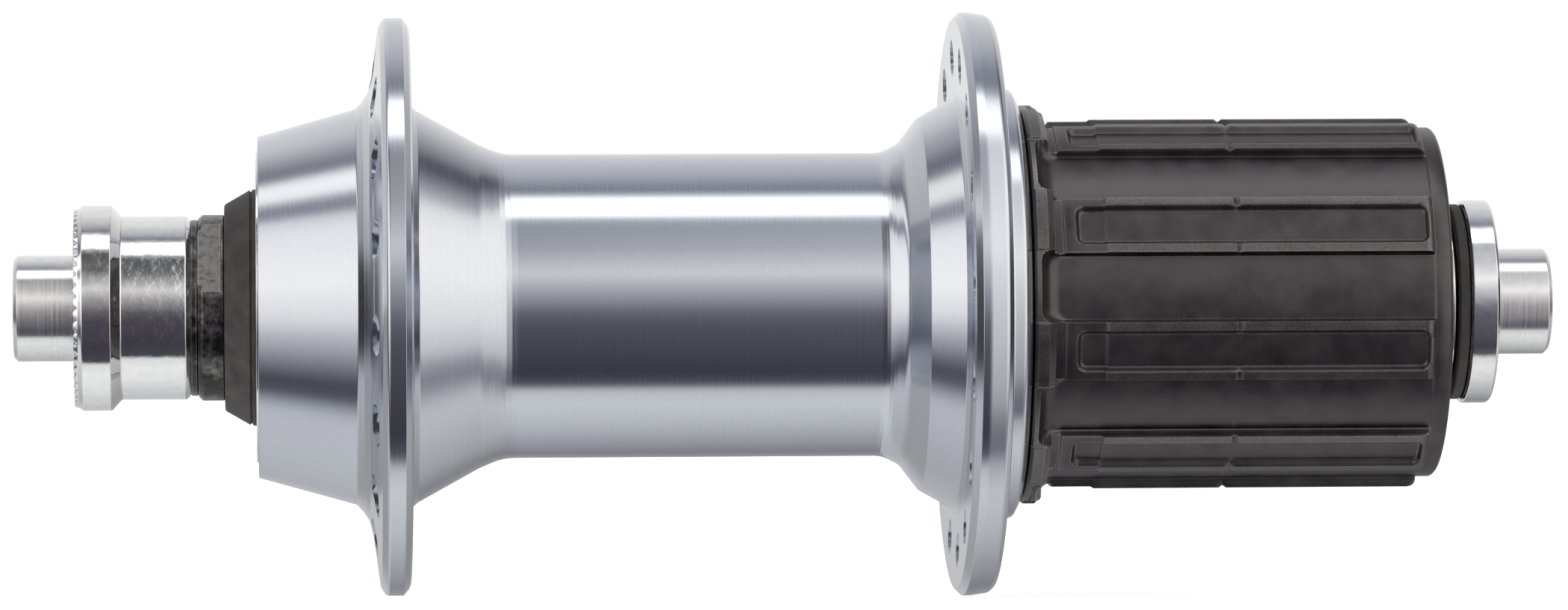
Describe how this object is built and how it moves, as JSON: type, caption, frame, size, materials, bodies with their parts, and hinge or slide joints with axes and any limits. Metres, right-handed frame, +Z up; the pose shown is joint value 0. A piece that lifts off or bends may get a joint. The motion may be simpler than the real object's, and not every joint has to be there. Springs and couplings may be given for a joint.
{
  "type": "bicycle rear hub",
  "caption": "Rear bicycle hub: flanged aluminium shell turning on a cup-and-cone axle, with a splined ratchet freehub that takes a cassette.",
  "frame": {"origin": "on the hub axis, midway between the outer faces of the two locknuts; the axle ends are symmetric about it, so it is also the centre of the box", "axes": "+X along the hub axis towards the freehub (the bicycle's right-hand side), +Z up, and the front view looks along +Y. The wheel's usual spin axis in this library family may be another one: here it is X"},
  "size_m": [0.141, 0.0536, 0.0536],
  "materials": {
    "anodised_aluminium": "satin anodised, fine turned lines",
    "plated_steel": "bright zinc or chrome plating",
    "black_steel": "blackened, worn grey on edges and flats",
    "freehub_steel": "dark satin with a faint oily mottle",
    "ground_steel": "ground",
    "bearing_steel": "polished",
    "seal_rubber": "matte"
  },
  "bodies": {
    "axle_set": {"axle": "plated_steel", "left_locknut": "plated_steel", "left_washer": "black_steel", "left_cone": "black_steel", "left_seal": "seal_rubber", "right_cone": "ground_steel", "right_spacer": "plated_steel", "right_seal": "seal_rubber", "right_locknut": "plated_steel"},
    "shell": {"hub_shell": "anodised_aluminium", "left_bearing_cup": "ground_steel", "left_dust_cap": "plated_steel", "freehub_seal": "seal_rubber", "freehub_inner_body": "ground_steel", "freehub_fixing_bolt": "ground_steel", "locking_cup": "ground_steel", "pawl_spring": "ground_steel"},
    "left_balls": {"left_ball_1": "bearing_steel", "left_ball_2": "bearing_steel", "left_ball_3": "bearing_steel", "left_ball_4": "bearing_steel", "left_ball_5": "bearing_steel", "left_ball_6": "bearing_steel", "left_ball_7": "bearing_steel", "left_ball_8": "bearing_steel", "left_ball_9": "bearing_steel"},
    "right_balls": {"right_ball_1": "bearing_steel", "right_ball_2": "bearing_steel", "right_ball_3": "bearing_steel", "right_ball_4": "bearing_steel", "right_ball_5": "bearing_steel", "right_ball_6": "bearing_steel", "right_ball_7": "bearing_steel", "right_ball_8": "bearing_steel", "right_ball_9": "bearing_steel"},
    "freehub": {"freehub_body": "freehub_steel", "freehub_dust_cap": "black_steel"},
    "freehub_inner_balls": {"freehub_inner_row": "bearing_steel"},
    "freehub_outer_balls": {"freehub_outer_row": "bearing_steel"},
    "pawl_1": {"pawl_1": "ground_steel"},
    "pawl_2": {"pawl_2": "ground_steel"}
  },
  "joints": [
    {"name": "shell_spin", "type": "hinge", "parent": "axle_set", "child": "shell", "pos_m": [0, 0, 0], "axis": [1, 0, 0], "continuous": true},
    {"name": "left_ball_orbit", "type": "hinge", "parent": "axle_set", "child": "left_balls", "pos_m": [-0.0445, 0, 0], "axis": [1, 0, 0], "continuous": true},
    {"name": "right_ball_orbit", "type": "hinge", "parent": "axle_set", "child": "right_balls", "pos_m": [0.055, 0, 0], "axis": [1, 0, 0], "continuous": true},
    {"name": "freehub_spin", "type": "hinge", "parent": "shell", "child": "freehub", "pos_m": [0.0405, 0, 0], "axis": [1, 0, 0], "continuous": true},
    {"name": "freehub_inner_orbit", "type": "hinge", "parent": "shell", "child": "freehub_inner_balls", "pos_m": [0.0255, 0, 0], "axis": [1, 0, 0], "continuous": true},
    {"name": "freehub_outer_orbit", "type": "hinge", "parent": "shell", "child": "freehub_outer_balls", "pos_m": [0.0496, 0, 0], "axis": [1, 0, 0], "continuous": true},
    {"name": "pawl_1_lift", "type": "hinge", "parent": "shell", "child": "pawl_1", "pos_m": [0.0318, 0.00525, 0.00955], "axis": [-1, 0, 0], "range_deg": [0, 11], "stiffness_Nm_per_rad": 0.001, "springref_deg": 20.05},
    {"name": "pawl_2_lift", "type": "hinge", "parent": "shell", "child": "pawl_2", "pos_m": [0.0318, -0.00525, -0.00955], "axis": [-1, 0, 0], "range_deg": [0, 11], "stiffness_Nm_per_rad": 0.001, "springref_deg": 20.05}
  ],
  "couplings": [
    {"joint": "left_ball_orbit", "follows": "shell_spin", "ratio": 0.615},
    {"joint": "right_ball_orbit", "follows": "shell_spin", "ratio": 0.615},
    {"joint": "freehub_inner_orbit", "follows": "freehub_spin", "ratio": 0.543},
    {"joint": "freehub_outer_orbit", "follows": "freehub_spin", "ratio": 0.543},
    {"joint": "pawl_2_lift", "follows": "pawl_1_lift", "ratio": 1}
  ]
}
